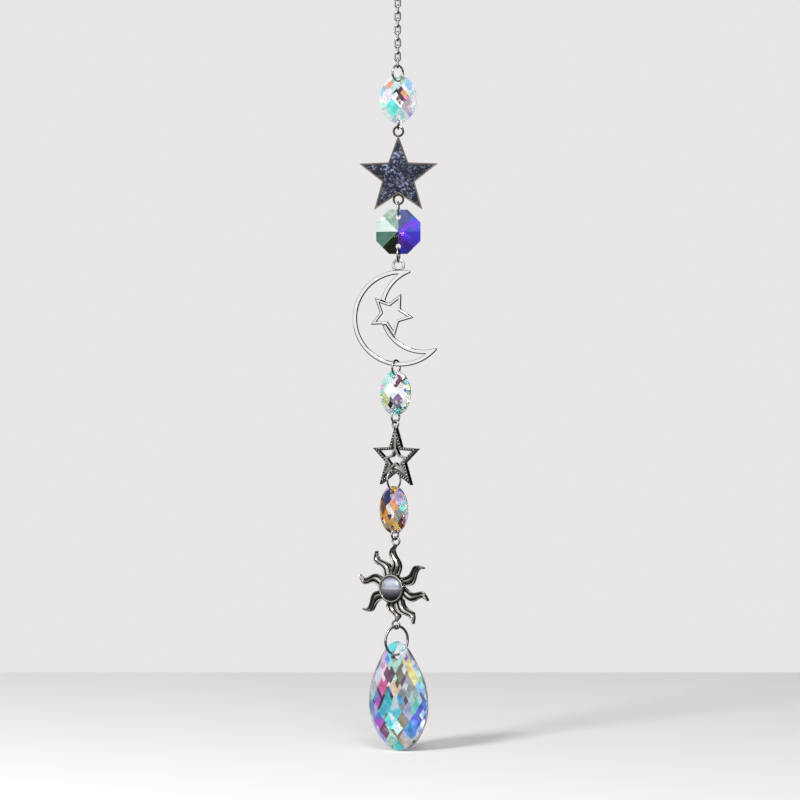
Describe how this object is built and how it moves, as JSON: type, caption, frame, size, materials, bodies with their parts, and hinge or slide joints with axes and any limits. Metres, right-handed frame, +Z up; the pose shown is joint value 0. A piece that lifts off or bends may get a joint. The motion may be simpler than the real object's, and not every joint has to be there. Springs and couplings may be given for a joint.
{
  "type": "crystal suncatcher",
  "caption": "Hanging ornament: faceted rainbow-coated crystals, star, moon and sun charms and a large crystal drop, strung on jump rings below a cable chain and a hanging ring.",
  "frame": {"origin": "inner top of the hanging ring, the point that bears on a hook", "axes": "+Z up along the string, towards the hook; +X to the right and -Y towards the viewer, seen from the front"},
  "size_m": [0.0284, 0.0167, 0.2812],
  "materials": {
    "silver_wire": "polished silver plate on round wire",
    "silver_cast": "polished silver plate on cast alloy",
    "antique_silver": "antiqued silver plate, dark in the recesses",
    "glitter_resin": "navy resin full of silver glitter",
    "pearl_stone": "grey-blue pearl lustre",
    "rainbow_crystal": "clear cut crystal with a rainbow coat",
    "violet_crystal": "cut crystal with a green to violet coat"
  },
  "bodies": {
    "root": {"hanging_ring": "silver_wire", "chain_link_01": "silver_wire", "chain_link_02": "silver_wire", "chain_link_03": "silver_wire", "chain_link_04": "silver_wire", "chain_link_05": "silver_wire", "chain_link_06": "silver_wire", "chain_link_07": "silver_wire", "chain_link_08": "silver_wire", "chain_link_09": "silver_wire", "chain_link_10": "silver_wire", "chain_link_11": "silver_wire", "chain_link_12": "silver_wire", "chain_link_13": "silver_wire", "chain_link_14": "silver_wire", "chain_link_15": "silver_wire", "chain_link_16": "silver_wire", "chain_link_17": "silver_wire", "chain_link_18": "silver_wire", "chain_link_19": "silver_wire", "chain_ring": "silver_wire", "oval_crystal_upper": "rainbow_crystal", "star_ring": "silver_wire", "star_setting": "antique_silver", "star_inlay": "glitter_resin", "octagon_ring": "silver_wire", "octagon_crystal": "violet_crystal", "moon_ring": "silver_wire", "moon_charm": "silver_cast", "moon_foot_ring": "silver_wire", "oval_crystal_middle": "rainbow_crystal", "open_star_ring": "silver_wire", "open_star_charm": "antique_silver", "open_star_foot_ring": "silver_wire", "oval_crystal_lower": "rainbow_crystal", "sun_ring": "silver_wire", "sun_charm": "antique_silver", "sun_cabochon": "pearl_stone", "drop_ring": "silver_wire", "drop_crystal": "rainbow_crystal"}
  },
  "joints": []
}
